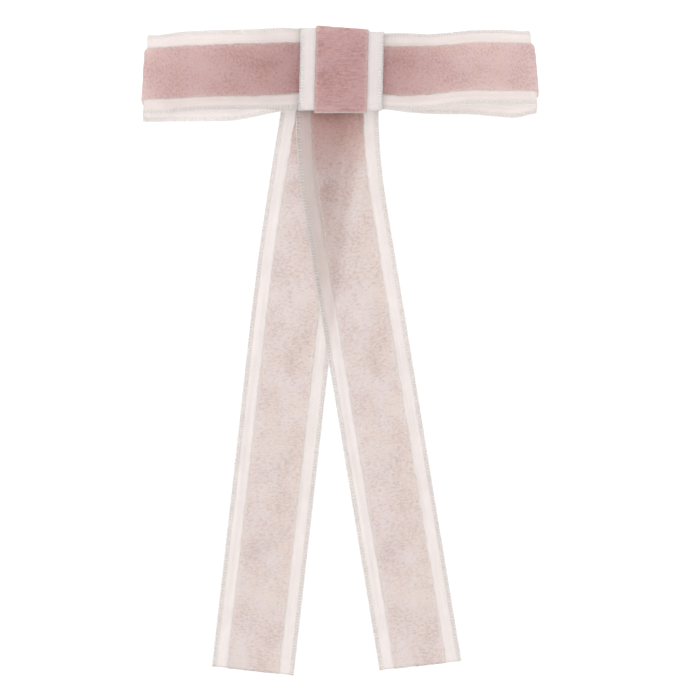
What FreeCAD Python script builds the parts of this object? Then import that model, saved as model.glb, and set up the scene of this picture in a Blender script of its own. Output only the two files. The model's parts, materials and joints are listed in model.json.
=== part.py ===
"""A hair barrette: a flat ribbon bow with two long tails, sewn and glued to a sprung metal clip.

The bow is made of a satin ribbon with a narrower velvet ribbon laid along its middle. One length of it is
folded into a flat ring, which gives a loop on each side. A short length is wrapped round the ring's middle as
the knot, and two tails are laid behind the knot. The clip is the common automatic kind: a curved base bar, a
clasp arm on a hinge pin, a bowed tension bar between the two, and a catch with two tabs that are pinched
together to let the arm go.

Row frame, in millimetres: +X to the wearer's right as seen from the front of the bow, +Y from the front of the
bow towards the head, +Z up. The origin is the middle of the gap that holds the hair, between the tension bar
and the closed clasp arm. The tails hang down.
"""

import FreeCAD, Part
import math
import os

from FreeCAD import Vector

# Ribbon stock
SATIN_WIDTH = 25.0
SATIN_THICK = 0.25
VELVET_WIDTH = 16.0
VELVET_THICK = 0.9
RIBBON_THICK = SATIN_THICK + VELVET_THICK
LAYER_GAP = 0.05

# Bow. BOW_X is the knot's middle, which is sewn a little to one side of the clip's middle.
BOW_X = 2.5
BOW_WIDTH = 119.5
LOOP_CORE_GAP = 0.1
LOOP_FRONT_BULGE = 2.3
LOOP_BACK_BULGE = 2.9
LOOP_PINCH_END = 14.5
LOOP_SHOULDER = 30.0
LOOP_FOLD_RADIUS = 1.5

# Tails: each runs straight down, turns through an arc and runs on straight to a square-cut end.
TAIL_TOP_Z = 8.0
TAIL_LEFT = {"top_x": -2.3, "heading": -9.4, "first": 38.0, "radius": 878.0, "turn": 3.0, "last": 106.0}
TAIL_RIGHT = {"top_x": -1.3, "heading": 0.0, "first": 18.0, "radius": 198.0, "turn": 9.3, "last": 138.5}
TAIL_SEWN_END_Z = -14.2
TAIL_HINGE_Z = -15.6
TAIL_HANGING_TOP_Z = -15.7

# Clip, drawn with its hinge towards -X and then turned the other way round
HAIR_GAP = 4.2
CROWN_RISE = 3.2
BAR_LENGTH = 60.0
BAR_WIDTH = 7.0
BAR_THICK = 0.8
BAR_RADIUS = 120.0
BAR_END_ROUND = 2.6
HINGE_X = -27.0
HINGE_LIFT = 1.1
PIN_RADIUS = 0.75
PIN_HEAD_RADIUS = 1.25
PIN_HEAD_THICK = 0.45
PIN_RUNNING = 0.06
EAR_THICK = 0.7
EAR_ROUND = 1.9
ARM_THICK = 0.7
ARM_WIDTH = 6.2
ARM_NECK_WIDTH = 5.3
ARM_KNUCKLE_RADIUS = 1.5
ARM_SLOT_HALF_LENGTH = 16.0
ARM_SLOT_WIDTH = 2.2
ARM_TIP_X = 33.5
ARM_TIP_RISE = 1.6
TENSION_THICK = 0.4
TENSION_WIDTH = 4.4
TENSION_HEAD_WIDTH = 6.2
TENSION_HEAD_LENGTH = 1.2
TENSION_END_X = 22.0
TENSION_PLAY = 0.06
BAR_WINDOW_START = 12.0
BAR_WINDOW_WIDTH = 4.9
SEWING_HOLE_RADIUS = 0.55
SEWING_HOLE_X = 9.6

# Catch, in its own frame: across the clip, and out from the bar's back face
CATCH_X = 26.0
CATCH_LENGTH = 3.2
CATCH_THICK = 0.45
CATCH_HALF_WIDTH = 2.75
CATCH_BEND_RADIUS = 0.75
CATCH_RIVET_RADIUS = 0.7
CATCH_RIVET_HEAD_RADIUS = 1.15
CATCH_RIVET_HEAD_THICK = 0.35
CATCH_BARB = 0.35
CATCH_BARB_CLEAR = 0.25
CATCH_BARB_LENGTH = 0.8
TAB_ABOVE_ARM = 3.1
TAB_FLARE = 0.9
WINDOW_LENGTH = 5.2
WINDOW_CLEAR = 0.05
FRAME_WIDTH = 9.4
FRAME_LENGTH = 8.2
FIT_GAP = 0.02

# Sewing
GLUE_THICK = 0.3
GLUE_HALF_LENGTH = 8.0
GLUE_HALF_WIDTH = 3.0
THREAD_RADIUS = 0.2
THREAD_X = 5.8
THREAD_PITCH = 0.75
THREAD_TURNS = 3
THREAD_CORNER = 0.55

HANGING_NODES = ("tail_left_satin", "tail_left_velvet", "tail_right_satin", "tail_right_velvet")

# Places along Y, from the head side to the front of the bow
ARM_INNER_Y = HAIR_GAP / 2
CROWN_Y = -HAIR_GAP / 2
BAR_BACK_Y = CROWN_Y - CROWN_RISE
BAR_FRONT_Y = BAR_BACK_Y - BAR_THICK
TAIL_LEFT_BACK_Y = BAR_FRONT_Y - GLUE_THICK
TAIL_RIGHT_BACK_Y = TAIL_LEFT_BACK_Y - RIBBON_THICK - LAYER_GAP
KNOT_BACK_Y = TAIL_RIGHT_BACK_Y - RIBBON_THICK - LAYER_GAP
LOOP_BACK_Y = KNOT_BACK_Y - RIBBON_THICK - LAYER_GAP
LOOP_DEPTH = 2 * RIBBON_THICK + LOOP_CORE_GAP
LOOP_FRONT_Y = LOOP_BACK_Y - LOOP_DEPTH
PIN_Y = ARM_INNER_Y + ARM_THICK / 2 + HINGE_LIFT


def rounded_wire(corners):
    """A closed wire in the XY plane through corners (x, y, radius), with a tangent arc at each one."""
    ends = []
    edges = []
    count = len(corners)
    for i, (x, y, radius) in enumerate(corners):
        here = Vector(x, y, 0)
        before = Vector(corners[i - 1][0], corners[i - 1][1], 0) - here
        after = Vector(corners[(i + 1) % count][0], corners[(i + 1) % count][1], 0) - here
        before.normalize()
        after.normalize()
        half = before.getAngle(after) / 2
        reach = radius / math.tan(half)
        middle = before + after
        middle.normalize()
        nearest = here + middle * (radius / math.sin(half) - radius)
        ends.append((here + before * reach, nearest, here + after * reach))
    for i, (start, nearest, end) in enumerate(ends):
        edges.append(Part.Arc(start, nearest, end).toShape())
        edges.append(Part.LineSegment(end, ends[(i + 1) % count][0]).toShape())
    return Part.Wire(edges)


def box(x, y, z):
    """A box between (low, high) pairs along each axis."""
    corner = Vector(x[0], y[0], z[0])
    return Part.makeBox(x[1] - x[0], y[1] - y[0], z[1] - z[0], corner)


def band(wire, inner, outer, height):
    """A ring of ribbon on edge: the wire's outline offset from inner to outer, height tall about z = 0."""
    outside, inside = (Part.Face(wire.makeOffset2D(offset)) for offset in (outer, inner))
    ring = outside.cut(inside)
    ring.translate(Vector(0, 0, -height / 2))
    return ring.extrude(Vector(0, 0, height))


def turned_to_x(shape):
    """A shape drawn with Y, Z and X as its own X, Y and Z, put in place."""
    return shape.rotated(Vector(), Vector(1, 1, 1), 120)


def arc_strip(radius, top_y, thick, x_range, width):
    """A strip curved about Z, with its ends towards +Y. top_y is its +Y face at x = 0."""
    centre_y = top_y + radius
    edges = []
    places = []
    for r in (radius, radius + thick):
        row = []
        for x in (x_range[0], sum(x_range) / 2, x_range[1]):
            row.append(Vector(x, centre_y - math.sqrt(r * r - x * x), 0))
        edges.append(Part.Arc(*row).toShape())
        places.append(row)
    for end in (0, -1):
        edges.append(Part.LineSegment(places[0][end], places[1][end]).toShape())
    face = Part.Face(Part.Wire(Part.__sortEdges__(edges)))
    face.translate(Vector(0, 0, -width / 2))
    return face.extrude(Vector(0, 0, width))


def arc_y(radius, top_y, x):
    """The Y of a curved strip's +Y face at x."""
    return top_y + radius - math.sqrt(radius * radius - x * x)


def plan_prism(corners):
    """A rounded outline in X and Z, drawn right through the clip along Y."""
    face = Part.Face(rounded_wire(corners))
    face.rotate(Vector(), Vector(1, 0, 0), 90)
    face.translate(Vector(0, 30, 0))
    return face.extrude(Vector(0, -60, 0))


def plan_rectangle(x, width, radius):
    """A rounded rectangle for plan_prism, between the two x values."""
    half = width / 2
    return [(x[0], -half, radius), (x[1], -half, radius), (x[1], half, radius), (x[0], half, radius)]


def cylinder_y(radius, x, z, y):
    """A cylinder along Y between the two y values."""
    return Part.makeCylinder(radius, y[1] - y[0], Vector(x, y[0], z), Vector(0, 1, 0))


# Ribbons


def loop_outline():
    """The middle of the loop's satin ribbon, seen from above: pinched at the knot, with a fold at each end."""
    front = LOOP_FRONT_Y + VELVET_THICK + SATIN_THICK / 2
    back = LOOP_BACK_Y - VELVET_THICK - SATIN_THICK / 2
    end = BOW_WIDTH / 2 - VELVET_THICK - SATIN_THICK / 2
    right = [
        (LOOP_PINCH_END, front, 22.0),
        (LOOP_SHOULDER, front - LOOP_FRONT_BULGE, 30.0),
        (end, front - LOOP_FRONT_BULGE * 0.7, LOOP_FOLD_RADIUS),
        (end, back + LOOP_BACK_BULGE * 0.6, LOOP_FOLD_RADIUS),
        (LOOP_SHOULDER + 3.0, back + LOOP_BACK_BULGE, 30.0),
        (LOOP_PINCH_END, back, 22.0),
    ]
    left = [(-x, y, radius) for x, y, radius in reversed(right)]
    return rounded_wire(right + left)


def bow_loop():
    """The satin ring and the velvet that goes round its outside."""
    outline = loop_outline()
    satin = band(outline, -SATIN_THICK / 2, SATIN_THICK / 2, SATIN_WIDTH)
    velvet = band(outline, SATIN_THICK / 2 + FIT_GAP, SATIN_THICK / 2 + VELVET_THICK, VELVET_WIDTH)
    return {"bow_loop_satin": satin, "bow_loop_velvet": velvet}


def knot_wrap():
    """The short ribbon wrapped round the middle of the loop, satin inside and velvet outside."""
    inner_y = (LOOP_FRONT_Y - LAYER_GAP, LOOP_BACK_Y + LAYER_GAP)
    half = SATIN_WIDTH / 2 + LAYER_GAP
    corner = 0.5
    inner = rounded_wire(
        [
            (inner_y[0], -half, corner),
            (inner_y[1], -half, corner),
            (inner_y[1], half, corner),
            (inner_y[0], half, corner),
        ]
    )
    satin = turned_to_x(band(inner, 0.001, SATIN_THICK, SATIN_WIDTH))
    velvet = turned_to_x(band(inner, SATIN_THICK + FIT_GAP, RIBBON_THICK, VELVET_WIDTH))
    return {"knot_wrap_satin": satin, "knot_wrap_velvet": velvet}


def tail_outline(shape, width):
    """One tail's outline in X and Z. Headings are degrees from straight down, positive towards +X."""

    def way(degrees):
        angle = math.radians(degrees)
        return Vector(math.sin(angle), -math.cos(angle), 0)

    def side(degrees):
        angle = math.radians(degrees)
        return Vector(math.cos(angle), math.sin(angle), 0)

    first = shape["heading"]
    last = first + shape["turn"]
    start = Vector(shape["top_x"], TAIL_TOP_Z, 0)
    bend = start + way(first) * shape["first"]
    centre = bend + side(first) * shape["radius"]
    half = width / 2
    edges = []
    corners = []
    for offset in (-half, half):
        radius = shape["radius"] - offset
        bend_start = centre - side(first) * radius
        bend_middle = centre - side((first + last) / 2) * radius
        bend_end = centre - side(last) * radius
        top = start + side(first) * offset
        bottom = bend_end + way(last) * shape["last"]
        edges += [
            Part.LineSegment(top, bend_start).toShape(),
            Part.Arc(bend_start, bend_middle, bend_end).toShape(),
            Part.LineSegment(bend_end, bottom).toShape(),
        ]
        corners.append((top, bottom))
    for i in (0, 1):
        edges.append(Part.LineSegment(corners[0][i], corners[1][i]).toShape())
    return Part.Face(Part.Wire(Part.__sortEdges__(edges)))


def tail_layer(shape, width, back_y, thick):
    """One layer of a tail, between back_y and thick in front of it, as (sewn top, hanging length)."""
    face = tail_outline(shape, width)
    face.rotate(Vector(), Vector(1, 0, 0), 90)
    face.translate(Vector(0, back_y, 0))
    whole = face.extrude(Vector(0, -thick, 0))
    sewn = whole.common(box((-60, 60), (-30, 30), (TAIL_SEWN_END_Z, 30)))
    hanging = whole.common(box((-60, 60), (-30, 30), (-250, TAIL_HANGING_TOP_Z)))
    return sewn, hanging


def tails():
    """Both tails. Each ribbon is one piece, parted here at the line where it bends as it swings."""
    made = {}
    for name, shape, back_y in (
        ("tail_left", TAIL_LEFT, TAIL_LEFT_BACK_Y),
        ("tail_right", TAIL_RIGHT, TAIL_RIGHT_BACK_Y),
    ):
        satin = tail_layer(shape, SATIN_WIDTH, back_y, SATIN_THICK)
        pile_y = back_y - SATIN_THICK - FIT_GAP
        velvet = tail_layer(shape, VELVET_WIDTH, pile_y, VELVET_THICK - FIT_GAP)
        made[name + "_satin_sewn"], made[name + "_satin"] = satin
        made[name + "_velvet_sewn"], made[name + "_velvet"] = velvet
    return made


# Clip


def base_bar():
    """The curved bar that carries everything, with two ears for the hinge pin."""
    half = BAR_LENGTH / 2
    bar = arc_strip(BAR_RADIUS, BAR_BACK_Y, BAR_THICK, (-half, half), BAR_WIDTH)
    bar = bar.common(plan_prism(plan_rectangle((-half, half), BAR_WIDTH, BAR_END_ROUND)))
    foot_y = arc_y(BAR_RADIUS, BAR_BACK_Y, HINGE_X) - BAR_THICK
    for side in (-1, 1):
        inner = BAR_WIDTH / 2 - EAR_THICK
        low = inner if side > 0 else -BAR_WIDTH / 2
        ear = box((HINGE_X - EAR_ROUND, HINGE_X + EAR_ROUND), (foot_y + 0.4, PIN_Y), (low, low + EAR_THICK))
        top = Part.makeCylinder(EAR_ROUND, EAR_THICK, Vector(HINGE_X, PIN_Y, low))
        bar = bar.fuse([ear, top])
    bar = bar.cut(Part.makeCylinder(PIN_RADIUS + FIT_GAP / 2, BAR_WIDTH * 2, Vector(HINGE_X, PIN_Y, -BAR_WIDTH)))
    window_end = TENSION_END_X - TENSION_HEAD_LENGTH + 0.2
    for side in (-1, 1):
        ends = sorted((side * BAR_WINDOW_START, side * window_end))
        bar = bar.cut(plan_prism(plan_rectangle(ends, BAR_WINDOW_WIDTH, 0.5)))
        bar = bar.cut(cylinder_y(SEWING_HOLE_RADIUS, side * SEWING_HOLE_X, 0, (-20, 20)))
    bar = bar.cut(in_catch_frame(cylinder_y(CATCH_RIVET_RADIUS + FIT_GAP / 2, 0, 0, (-5, 5))))
    return bar.removeSplitter()


def hinge_pin():
    """A headed pin through the ears and the arm's knuckle."""
    half = BAR_WIDTH / 2 + FIT_GAP
    pin = Part.makeCylinder(PIN_RADIUS, 2 * half, Vector(HINGE_X, PIN_Y, -half))
    for low in (-half - PIN_HEAD_THICK, half):
        pin = pin.fuse(Part.makeCylinder(PIN_HEAD_RADIUS, PIN_HEAD_THICK, Vector(HINGE_X, PIN_Y, low)))
    pin = pin.removeSplitter()
    rims = [e for e in pin.Edges if is_circle(e, PIN_HEAD_RADIUS) and abs(e.Curve.Center.z) > half + 0.1]
    return pin.makeFillet(0.3, rims)


def is_circle(edge, radius):
    """Whether an edge is part of a circle of that radius."""
    return isinstance(edge.Curve, Part.Circle) and abs(edge.Curve.Radius - radius) < 1e-6


def arm_radius():
    """The radius that takes the arm's middle line through the pin's axis."""
    return (HINGE_X * HINGE_X + HINGE_LIFT * HINGE_LIFT) / (2 * HINGE_LIFT)


def catch_centre_x():
    """Where the catch's middle line passes through the arm."""
    foot = Vector(CATCH_X, arc_y(BAR_RADIUS, BAR_BACK_Y, CATCH_X), 0)
    arm_y = arc_y(arm_radius(), ARM_INNER_Y + ARM_THICK / 2, CATCH_X)
    return foot.x - (arm_y - foot.y) * math.tan(catch_tilt())


def clasp_arm():
    """The hinged arm: a slotted strip with a rolled knuckle, a window over the catch and an upturned tip."""
    tip_start = 29.0
    strip = arc_strip(arm_radius(), ARM_INNER_Y + ARM_THICK, ARM_THICK, (HINGE_X, tip_start), FRAME_WIDTH + 1)
    tip_y = arc_y(arm_radius(), ARM_INNER_Y + ARM_THICK, tip_start)
    run = ARM_TIP_X - tip_start
    tip_radius = (run * run + ARM_TIP_RISE * ARM_TIP_RISE) / (2 * ARM_TIP_RISE)
    tip = arc_strip(tip_radius, tip_y, ARM_THICK, (0, run), FRAME_WIDTH + 1)
    tip.translate(Vector(tip_start - 0.01, 0, 0))
    centre = catch_centre_x()
    frame = (centre - FRAME_LENGTH / 2, centre + FRAME_LENGTH / 2)
    neck_end = HINGE_X + EAR_ROUND + 1.2
    outline = plan_prism(plan_rectangle((HINGE_X - 4, frame[0] + 1), ARM_NECK_WIDTH, 0.5))
    outline = outline.fuse(
        [
            plan_prism(plan_rectangle((neck_end, frame[0] + 3), ARM_WIDTH, 1.2)),
            plan_prism(plan_rectangle(frame, FRAME_WIDTH, 2.2)),
            plan_prism(plan_rectangle((frame[0] + 4, ARM_TIP_X), ARM_WIDTH, 2.6)),
        ]
    )
    arm = strip.fuse(tip).common(outline)
    knuckle = Part.makeCylinder(
        ARM_KNUCKLE_RADIUS, ARM_NECK_WIDTH, Vector(HINGE_X, PIN_Y, -ARM_NECK_WIDTH / 2)
    )
    bore = Part.makeCylinder(PIN_RADIUS + PIN_RUNNING, 20, Vector(HINGE_X, PIN_Y, -10))
    slot = plan_prism(
        plan_rectangle((-ARM_SLOT_HALF_LENGTH, ARM_SLOT_HALF_LENGTH), ARM_SLOT_WIDTH, ARM_SLOT_WIDTH / 2 - 0.01)
    )
    window_width = 2 * (CATCH_HALF_WIDTH + WINDOW_CLEAR)
    window = plan_prism(
        plan_rectangle((centre - WINDOW_LENGTH / 2, centre + WINDOW_LENGTH / 2), window_width, 0.6)
    )
    return arm.fuse(knuckle).cut([bore, slot, window]).removeSplitter()


def tension_bar():
    """The bowed strip that presses the hair to the arm. Its wide heads hook under the base bar's windows."""
    rest_x = TENSION_END_X - TENSION_HEAD_LENGTH
    hook_y = arc_y(BAR_RADIUS, BAR_BACK_Y, rest_x) - BAR_THICK - TENSION_PLAY
    drop = CROWN_Y - hook_y
    radius = (rest_x * rest_x + drop * drop) / (2 * drop)
    ends = (-TENSION_END_X, TENSION_END_X)
    strip = arc_strip(radius - TENSION_THICK, 0, TENSION_THICK, ends, TENSION_HEAD_WIDTH)
    strip.rotate(Vector(), Vector(0, 0, 1), 180)
    strip.translate(Vector(0, CROWN_Y - TENSION_THICK, 0))
    outline = plan_prism(plan_rectangle((-TENSION_END_X - 1, TENSION_END_X + 1), TENSION_WIDTH, 0.4))
    for side in (-1, 1):
        ends = sorted((side * rest_x, side * (TENSION_END_X + 0.5)))
        outline = outline.fuse(plan_prism(plan_rectangle(ends, TENSION_HEAD_WIDTH, 0.5)))
    return strip.common(outline)


def catch_tilt():
    """The slope of the base bar under the catch, in radians."""
    return math.asin(CATCH_X / BAR_RADIUS)


def in_catch_frame(shape):
    """Puts a shape drawn about the catch's foot, with +Y out from the bar, in place on the bar's back face."""
    placed = shape.rotated(Vector(), Vector(0, 0, 1), math.degrees(catch_tilt()))
    placed.translate(Vector(CATCH_X, arc_y(BAR_RADIUS, BAR_BACK_Y, CATCH_X) + FIT_GAP, 0))
    return placed


def tab_hinge():
    """A release tab's bend line in the catch's frame, as (out from the bar, across the clip)."""
    return CATCH_BEND_RADIUS, CATCH_HALF_WIDTH - CATCH_BEND_RADIUS


def catch_foot():
    """The middle of the catch, which the rivet holds to the base bar."""
    out, across = tab_hinge()
    half = across - FIT_GAP
    foot = box((-CATCH_LENGTH / 2, CATCH_LENGTH / 2), (0, CATCH_THICK), (-half, half))
    foot = foot.cut(cylinder_y(CATCH_RIVET_RADIUS + FIT_GAP / 2, 0, 0, (-1, 2)))
    return in_catch_frame(foot)


def catch_rivet():
    """The rivet through the catch's foot and the base bar."""
    low = -BAR_THICK - 2 * FIT_GAP
    high = CATCH_THICK + FIT_GAP
    rivet = cylinder_y(CATCH_RIVET_RADIUS, 0, 0, (low, high))
    rivet = rivet.fuse(cylinder_y(CATCH_RIVET_HEAD_RADIUS, 0, 0, (high, high + CATCH_RIVET_HEAD_THICK)))
    rivet = rivet.fuse(cylinder_y(CATCH_RIVET_HEAD_RADIUS, 0, 0, (low - CATCH_RIVET_HEAD_THICK, low)))
    return in_catch_frame(rivet.removeSplitter())


def release_tab(side):
    """One sprung side of the catch: a bend, an upright through the arm's window, a barb and a flared lobe."""
    out, across = tab_hinge()
    arm_outer = (
        arc_y(arm_radius(), ARM_INNER_Y + ARM_THICK, catch_centre_x())
        - arc_y(BAR_RADIUS, BAR_BACK_Y, CATCH_X)
    ) / math.cos(catch_tilt())
    barb = arm_outer + CATCH_BARB_CLEAR
    top = arm_outer + TAB_ABOVE_ARM
    outer = CATCH_HALF_WIDTH
    inner = CATCH_HALF_WIDTH - CATCH_THICK

    def point(y, z):
        return Vector(0, y, z)

    bend_low = math.sqrt(0.5) * CATCH_BEND_RADIUS
    bend_high = math.sqrt(0.5) * (CATCH_BEND_RADIUS - CATCH_THICK)
    bend_outer = Part.Arc(point(0, across), point(out - bend_low, across + bend_low), point(out, outer))
    bend_inner = Part.Arc(
        point(out, inner), point(out - bend_high, across + bend_high), point(CATCH_THICK, across)
    )
    corners = [
        point(out, outer),
        point(barb, outer),
        point(barb, outer + CATCH_BARB),
        point(barb + CATCH_BARB_LENGTH, outer),
        point(top - 1.2, outer),
        point(top, outer + TAB_FLARE),
        point(top, outer + TAB_FLARE - CATCH_THICK),
        point(top - 1.3, inner),
        point(out, inner),
    ]
    edges = [bend_outer.toShape()]
    for start, end in zip(corners, corners[1:]):
        edges.append(Part.LineSegment(start, end).toShape())
    edges.append(bend_inner.toShape())
    edges.append(Part.LineSegment(point(CATCH_THICK, across), point(0, across)).toShape())
    face = Part.Face(Part.Wire(edges))
    face.translate(Vector(-CATCH_LENGTH / 2, 0, 0))
    tab = face.extrude(Vector(CATCH_LENGTH, 0, 0))
    if side < 0:
        tab = tab.mirror(Vector(), Vector(0, 0, 1))
    round_top = Part.Face(
        rounded_wire(
            [
                (-CATCH_LENGTH / 2, -1, 0.2),
                (CATCH_LENGTH / 2, -1, 0.2),
                (CATCH_LENGTH / 2, top + 0.01, 1.4),
                (-CATCH_LENGTH / 2, top + 0.01, 1.4),
            ]
        )
    )
    round_top.translate(Vector(0, 0, -10))
    return in_catch_frame(tab.common(round_top.extrude(Vector(0, 0, 20))))


# Sewing


def glue_bed():
    """The glue between the flat tails and the curved bar."""
    low = TAIL_LEFT_BACK_Y + FIT_GAP
    x = (-GLUE_HALF_LENGTH, GLUE_HALF_LENGTH)
    z = (-GLUE_HALF_WIDTH, GLUE_HALF_WIDTH)
    block = box(x, (low, BAR_FRONT_Y + 2), z)
    front_radius = BAR_RADIUS + BAR_THICK + FIT_GAP
    hollow = Part.makeCylinder(front_radius, 20, Vector(0, BAR_BACK_Y + BAR_RADIUS, -10))
    return block.cut(hollow)


def sewing_thread():
    """Turns of thread over the base bar, down into the ribbon on each side of it."""
    turns = []
    across = BAR_WIDTH / 2 + THREAD_RADIUS + 2 * FIT_GAP
    for side in (-1, 1):
        for turn in range(THREAD_TURNS):
            x = side * THREAD_X + (turn - (THREAD_TURNS - 1) / 2) * THREAD_PITCH
            over_y = arc_y(BAR_RADIUS, BAR_BACK_Y, abs(x) + THREAD_RADIUS) + THREAD_RADIUS + 3 * FIT_GAP
            low_y = TAIL_LEFT_BACK_Y + FIT_GAP
            corner = THREAD_CORNER
            cut = corner * (1 - math.sqrt(0.5))
            edges = []
            for z in (-across, across):
                inward = -math.copysign(1, z)
                edges.append(
                    Part.Arc(
                        Vector(x, over_y - corner, z),
                        Vector(x, over_y - cut, z + inward * cut),
                        Vector(x, over_y, z + inward * corner),
                    ).toShape()
                )
                edges.append(
                    Part.LineSegment(Vector(x, low_y, z), Vector(x, over_y - corner, z)).toShape()
                )
            edges.append(
                Part.LineSegment(
                    Vector(x, over_y, -across + corner), Vector(x, over_y, across - corner)
                ).toShape()
            )
            path = Part.Wire(Part.__sortEdges__(edges))
            start = path.OrderedVertexes[0].Point
            circle = Part.Wire(Part.Circle(start, Vector(0, 1, 0), THREAD_RADIUS).toShape())
            turns.append(path.makePipeShell([circle], True, True))
    return Part.makeCompound(turns)


def bow_parts():
    """The ribbon nodes, about the middle of the knot."""
    return {**bow_loop(), **knot_wrap(), **tails()}


def clip_parts():
    """The clip's nodes and what fixes it to the ribbon, with the hinge towards -X."""
    return {
        "base_bar": base_bar(),
        "hinge_pin": hinge_pin(),
        "clasp_arm": clasp_arm(),
        "tension_bar": tension_bar(),
        "catch_foot": catch_foot(),
        "catch_rivet": catch_rivet(),
        "release_tab_upper": release_tab(1),
        "release_tab_lower": release_tab(-1),
        "glue_bed": glue_bed(),
        "sewing_thread": sewing_thread(),
    }


def all_parts():
    """Every node's name and shape, in place."""
    parts = {}
    for name, shape in bow_parts().items():
        shape.translate(Vector(BOW_X, 0, 0))
        parts[name] = shape
    for name, shape in clip_parts().items():
        parts[name] = shape.mirror(Vector(), Vector(1, 0, 0))
    return parts


def write_part(name, shape):
    """Writes one node's STEP file and prints its size."""
    solids = shape.Solids
    if not solids or not shape.isValid():
        raise ValueError(f"{name} isn't a valid solid")
    whole = solids[0] if len(solids) == 1 else Part.makeCompound(solids)
    whole.exportStep(os.path.join("parts", name + ".step"))
    size = shape.BoundBox
    print(
        f"{name}: {len(solids)} solid, {shape.Volume:.2f} mm3, "
        f"x {size.XMin:.2f} to {size.XMax:.2f}, y {size.YMin:.2f} to {size.YMax:.2f}, "
        f"z {size.ZMin:.2f} to {size.ZMax:.2f}"
    )


def print_joints():
    """Prints where the joints are, for the record."""
    out, across = tab_hinge()
    bend = in_catch_frame(Part.Vertex(Vector(0, out, across))).Point
    hanging = [shape for name, shape in bow_parts().items() if name in HANGING_NODES]
    balance = Part.makeCompound(hanging).CenterOfGravity.y
    print(f"clasp arm's pin at x {-HINGE_X}, y {PIN_Y:.4f}")
    print(f"release tab's bend at x {-bend.x:.4f}, y {bend.y:.4f}, z {bend.z:.4f}")
    print(f"release tab's bend runs along {-math.cos(catch_tilt()):.5f}, {math.sin(catch_tilt()):.5f}, 0")
    print(f"tails bend at z {TAIL_HINGE_Z} and balance at y {balance:.4f}")


def main():
    os.makedirs("parts", exist_ok=True)
    for name, shape in all_parts().items():
        write_part(name, shape)
    print_joints()


main()
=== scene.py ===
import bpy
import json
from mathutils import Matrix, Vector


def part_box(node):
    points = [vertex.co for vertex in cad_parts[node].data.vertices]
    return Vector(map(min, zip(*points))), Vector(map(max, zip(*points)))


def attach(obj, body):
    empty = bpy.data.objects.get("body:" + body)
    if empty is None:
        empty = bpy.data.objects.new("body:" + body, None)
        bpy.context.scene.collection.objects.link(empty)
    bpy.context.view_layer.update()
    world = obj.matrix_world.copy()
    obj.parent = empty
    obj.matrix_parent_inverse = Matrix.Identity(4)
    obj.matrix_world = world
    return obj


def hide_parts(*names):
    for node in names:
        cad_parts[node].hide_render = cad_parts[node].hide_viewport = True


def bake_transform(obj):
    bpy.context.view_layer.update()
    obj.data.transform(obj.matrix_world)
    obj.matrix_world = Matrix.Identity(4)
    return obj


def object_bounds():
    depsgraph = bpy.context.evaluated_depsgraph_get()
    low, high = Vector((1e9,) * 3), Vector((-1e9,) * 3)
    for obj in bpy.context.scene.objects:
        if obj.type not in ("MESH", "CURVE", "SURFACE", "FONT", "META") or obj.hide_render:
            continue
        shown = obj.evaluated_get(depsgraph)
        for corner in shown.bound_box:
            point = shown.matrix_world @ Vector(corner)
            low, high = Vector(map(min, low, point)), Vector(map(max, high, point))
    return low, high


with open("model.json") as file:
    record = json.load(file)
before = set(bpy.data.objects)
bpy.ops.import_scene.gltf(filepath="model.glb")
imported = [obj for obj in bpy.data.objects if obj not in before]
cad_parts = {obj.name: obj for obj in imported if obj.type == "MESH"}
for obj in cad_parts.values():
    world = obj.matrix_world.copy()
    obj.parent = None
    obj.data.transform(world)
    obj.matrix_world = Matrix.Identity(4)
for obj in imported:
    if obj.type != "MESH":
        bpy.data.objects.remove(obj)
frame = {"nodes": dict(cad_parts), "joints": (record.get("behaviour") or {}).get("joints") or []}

"""The looks of a ribbon bow barrette: satin and velvet ribbon on a sprung steel clip.

Every ribbon is built from one placing function, which turns (along, across, out) on the flat cloth into a
point in space. The satin sheet, its selvedges, the velvet and its pile all go through it, so they stay
together. Lengths are in metres, except where a comment says millimetres.
"""

import json
import math

import bpy
import numpy as np
from mathutils import Vector

MM = 0.001
CAD_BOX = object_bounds()
ROOT_BODY = "bow_and_base"

# Ribbon stock
SATIN_HALF = 12.5 * MM
SATIN_THICK = 0.25 * MM
SATIN_GRID = 0.8 * MM
VELVET_HALF = 8.0 * MM
SELVEDGE_DEPTH = 1.4 * MM
RUNG_PITCH = 0.88 * MM
RUNG_RADIUS = 0.19 * MM
CORD_RADIUS = 0.13 * MM
VELVET_GAP = 0.02 * MM
VELVET_THICK = 0.85 * MM
PILE_GRID = 0.36 * MM
FIBRE_RADIUS = 0.04 * MM
CUT_FIBRE_RADIUS = 0.05 * MM

# How far in from the velvet's edges its pile reaches full height, on the loose ribbon and on the tight knot,
# and the shares of VELVET_THICK at which it starts there and by which it rises
LOOSE_TAPER = 0.9 * MM
TIGHT_TAPER = 0.35 * MM
PILE_START = 0.12
PILE_RISE = 0.76

# Sewing thread and the bar's curved front, as in the CAD model
THREAD_X = 5.8 * MM
THREAD_PITCH = 0.75 * MM
THREAD_RADIUS = 0.2 * MM
THREAD_CORNER = 0.55 * MM
BAR_FRONT_RADIUS = 120.8 * MM

# The thread's two plies, and the glue's clearance from what it lies between
THREAD_TWIST = 1.0 * MM
PLY_OFFSET = THREAD_RADIUS * 0.46
PLY_RADIUS = THREAD_RADIUS * 0.52
GLUE_GAP = 0.01 * MM

# Bow. The knot presses the bow's upper edge down by this share of its height.
TOP_SQUEEZE = 0.095
KNOT_LOW, KNOT_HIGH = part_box("knot_wrap_satin")
LOOP_LOW, LOOP_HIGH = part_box("bow_loop_velvet")
BOW_X = (KNOT_LOW.x + KNOT_HIGH.x) / 2
KNOT_SIDE = 13.0 * MM

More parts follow.
